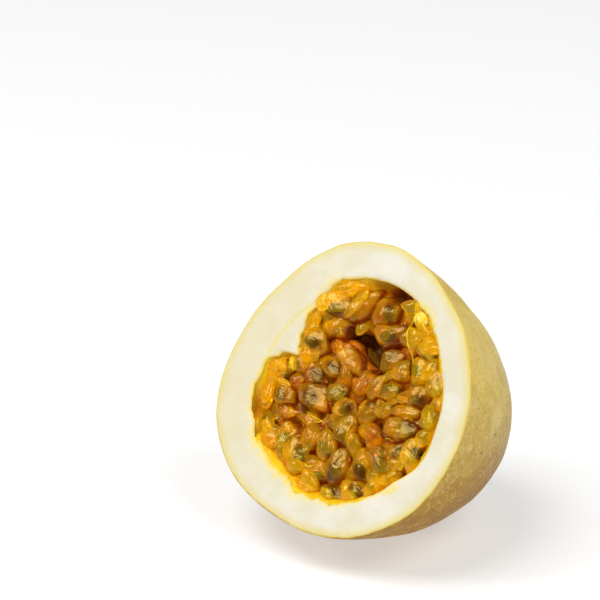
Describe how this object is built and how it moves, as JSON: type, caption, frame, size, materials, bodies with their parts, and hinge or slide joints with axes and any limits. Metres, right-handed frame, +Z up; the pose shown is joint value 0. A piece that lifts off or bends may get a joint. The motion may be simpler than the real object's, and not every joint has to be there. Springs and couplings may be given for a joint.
{
  "type": "passion fruit half",
  "caption": "Yellow passion fruit cut across, lying on its side with the pulp, juice sacs and dark seeds facing forwards and up.",
  "frame": {"origin": "centre of the small flat rest spot on the underside", "axes": "+Z up, the cut face looks along -Y and up, its normal 32.2 degrees above the horizontal, and the stem end points along +Y and down"},
  "size_m": [0.0697, 0.0613, 0.0653],
  "materials": {
    "rind": "waxy golden skin outside, matt creamy white pith at the cut and inside",
    "pulp": "wet deep amber jelly",
    "juice_sac": "glossy translucent yellow to amber jelly round a dark seed",
    "stem": "dry, rough, brown"
  },
  "bodies": {
    "root": {"rind": "rind", "pulp_bed": "pulp", "stem_stub": "stem", "juice_sac_01": "juice_sac", "juice_sac_02": "juice_sac", "juice_sac_03": "juice_sac", "juice_sac_04": "juice_sac", "juice_sac_05": "juice_sac", "juice_sac_06": "juice_sac", "juice_sac_07": "juice_sac", "juice_sac_08": "juice_sac", "juice_sac_09": "juice_sac", "juice_sac_10": "juice_sac", "juice_sac_11": "juice_sac", "juice_sac_12": "juice_sac", "juice_sac_13": "juice_sac", "juice_sac_14": "juice_sac", "juice_sac_15": "juice_sac", "juice_sac_16": "juice_sac", "juice_sac_17": "juice_sac", "juice_sac_18": "juice_sac", "juice_sac_19": "juice_sac", "juice_sac_20": "juice_sac", "juice_sac_21": "juice_sac", "juice_sac_22": "juice_sac", "juice_sac_23": "juice_sac", "juice_sac_24": "juice_sac", "juice_sac_25": "juice_sac", "juice_sac_26": "juice_sac", "juice_sac_27": "juice_sac", "juice_sac_28": "juice_sac", "juice_sac_29": "juice_sac", "juice_sac_30": "juice_sac", "juice_sac_31": "juice_sac", "juice_sac_32": "juice_sac", "juice_sac_33": "juice_sac", "juice_sac_34": "juice_sac", "juice_sac_35": "juice_sac", "juice_sac_36": "juice_sac", "juice_sac_37": "juice_sac", "juice_sac_38": "juice_sac", "juice_sac_39": "juice_sac", "juice_sac_40": "juice_sac", "juice_sac_41": "juice_sac", "juice_sac_42": "juice_sac", "juice_sac_43": "juice_sac", "juice_sac_44": "juice_sac", "juice_sac_45": "juice_sac", "juice_sac_46": "juice_sac", "juice_sac_47": "juice_sac", "juice_sac_48": "juice_sac", "juice_sac_49": "juice_sac", "juice_sac_50": "juice_sac", "juice_sac_51": "juice_sac", "juice_sac_52": "juice_sac", "juice_sac_53": "juice_sac", "juice_sac_54": "juice_sac", "juice_sac_55": "juice_sac", "juice_sac_56": "juice_sac", "juice_sac_57": "juice_sac"}
  },
  "joints": []
}
